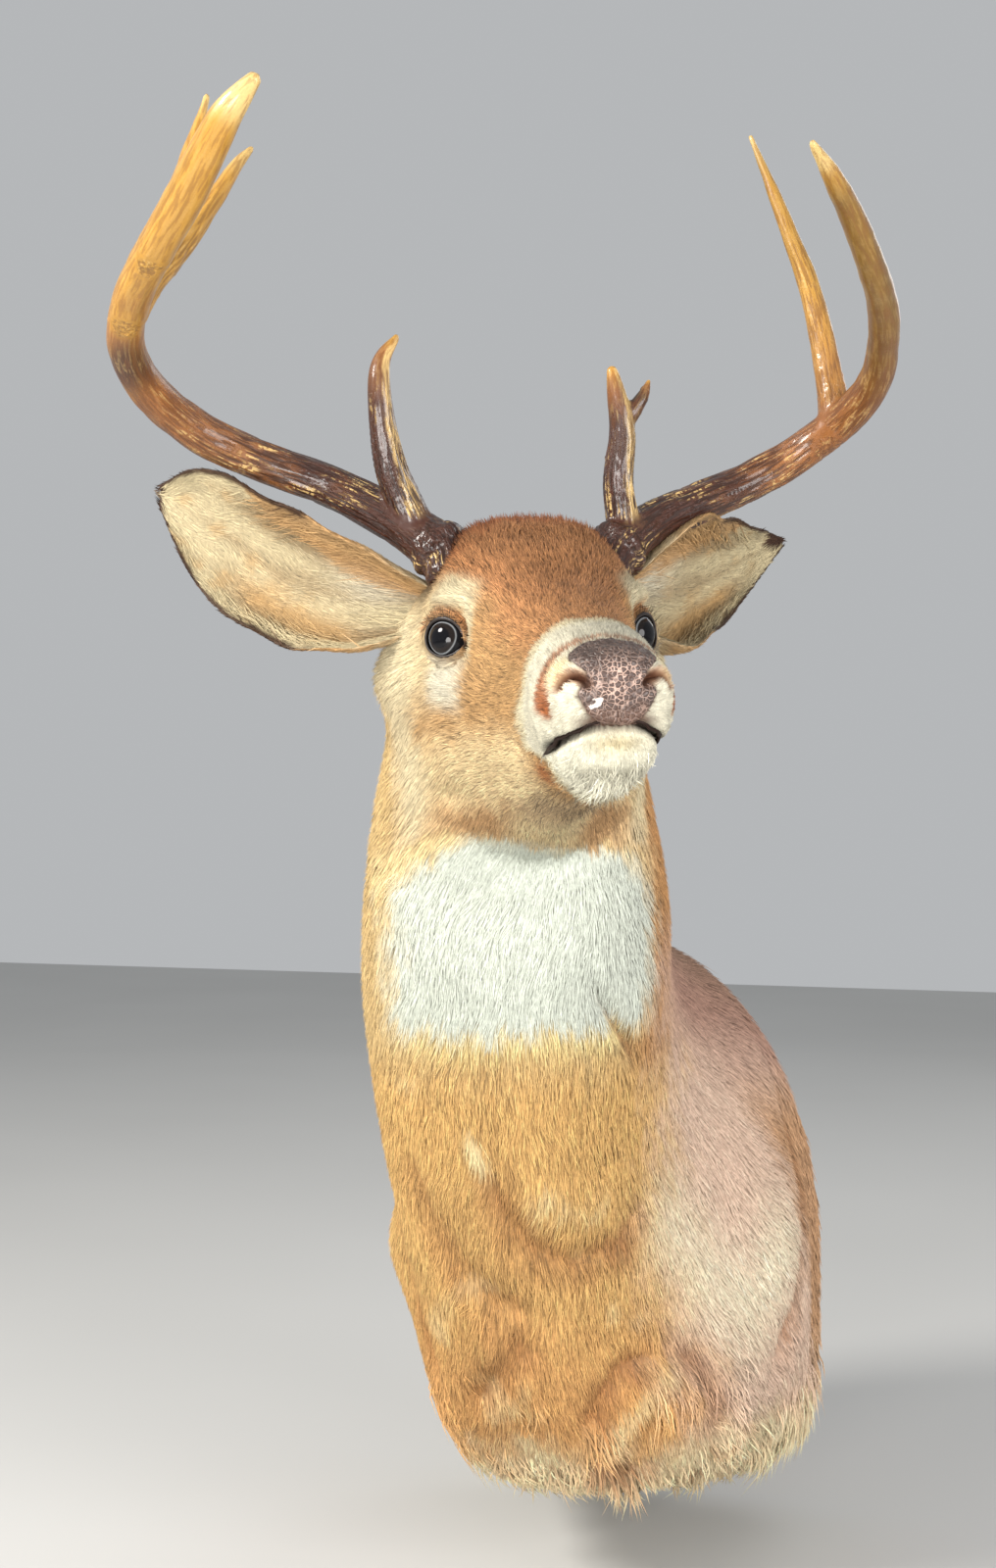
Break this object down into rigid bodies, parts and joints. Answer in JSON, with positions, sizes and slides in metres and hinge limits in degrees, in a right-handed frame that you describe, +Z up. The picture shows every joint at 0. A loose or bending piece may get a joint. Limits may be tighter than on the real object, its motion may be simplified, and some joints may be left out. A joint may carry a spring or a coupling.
{
  "type": "deer shoulder mount",
  "caption": "Life-size white-tailed buck, head, neck and shoulders, with branched antlers and turned head, mounted on a wooden backboard that hangs on a wall.",
  "frame": {"origin": "middle of the backboard's back face, which lies against the wall", "axes": "+Z up, +Y into the wall, the deer's chest faces -Y and +X is the deer's left"},
  "size_m": [0.4532, 0.6929, 0.9125],
  "materials": {
    "coat_body": "short hair, tan, peppered, with a white throat patch",
    "coat_head": "short hair, red-brown above, cream round the eyes and nose",
    "coat_chin": "short white hair",
    "coat_ear": "thin hair, cream inside and tan outside with a dark rim",
    "nose_skin": "pebbled, slightly glossy",
    "eye_glass": "polished dark glass",
    "antler": "ridged bone, dark brown at the root and golden at the tips, varnished",
    "board_wood": "plain pine plank, oiled",
    "hanger_steel": "zinc plated"
  },
  "bodies": {
    "root": {"head": "coat_head", "lower_jaw": "coat_chin", "nose": "nose_skin", "neck": "coat_body", "trunk": "coat_body", "ear_left": "coat_ear", "ear_right": "coat_ear", "eye_left": "eye_glass", "eye_right": "eye_glass", "antler_left_beam_base": "antler", "antler_left_beam_end": "antler", "antler_left_brow_tine": "antler", "antler_left_kicker_tine": "antler", "antler_left_second_tine": "antler", "antler_right_beam_base": "antler", "antler_right_beam_middle": "antler", "antler_right_beam_end": "antler", "antler_right_brow_tine": "antler", "antler_right_second_tine": "antler", "antler_right_third_tine": "antler", "backboard": "board_wood", "hanger": "hanger_steel", "hanger_screw_1": "hanger_steel", "hanger_screw_2": "hanger_steel"}
  },
  "joints": []
}
